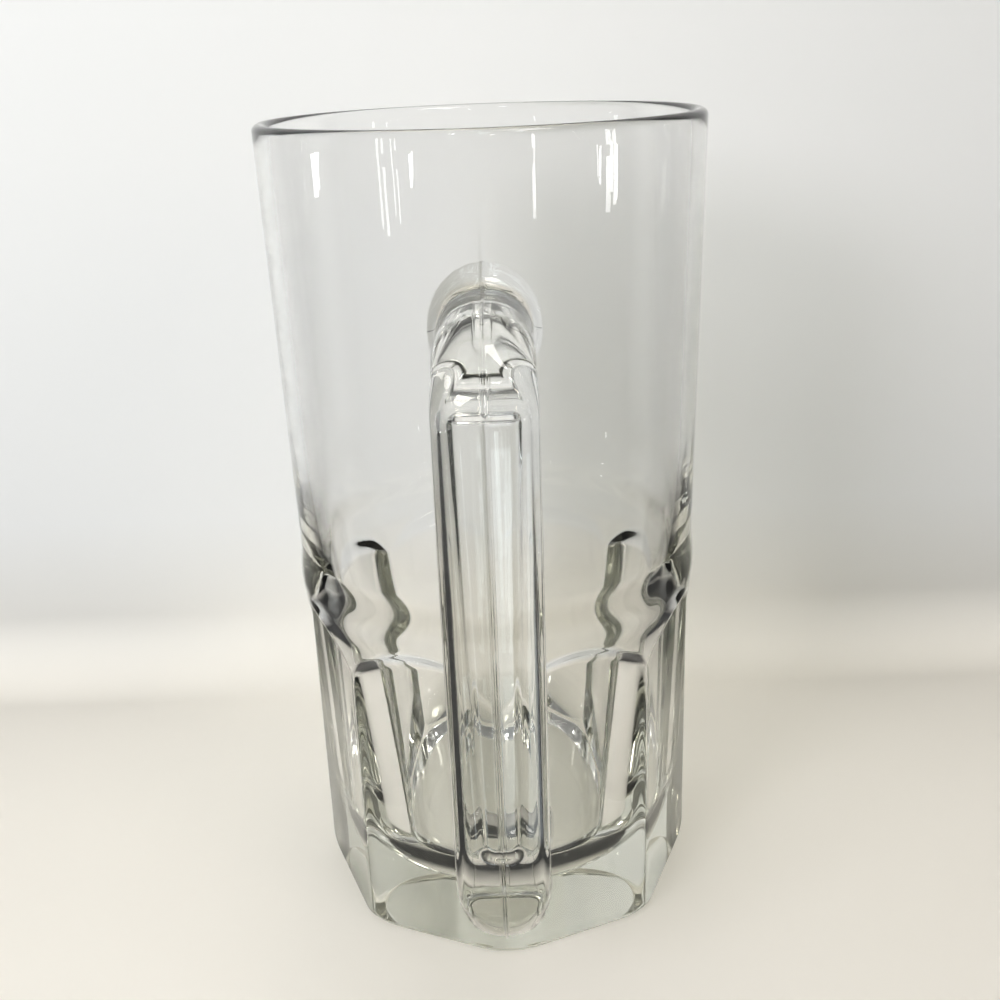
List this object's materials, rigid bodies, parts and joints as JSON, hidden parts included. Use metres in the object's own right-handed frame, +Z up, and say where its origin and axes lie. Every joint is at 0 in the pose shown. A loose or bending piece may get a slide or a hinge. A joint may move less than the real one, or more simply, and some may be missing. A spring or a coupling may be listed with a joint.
{
  "type": "beer mug",
  "caption": "Tall clear pressed-glass beer mug with a round upper wall, a ring of arch-topped flat panels running into a faceted foot, and a loop handle with a sunken grip panel.",
  "frame": {"origin": "on the vessel's axis, in the plane that the foot stands on", "axes": "+Z up along the vessel's axis towards the rim, handle along -Y, +X to the right when the handle faces the viewer"},
  "size_m": [0.088, 0.122, 0.168],
  "materials": {
    "clear_glass": "polished"
  },
  "bodies": {
    "root": {"mug_body": "clear_glass", "handle": "clear_glass"}
  },
  "joints": []
}
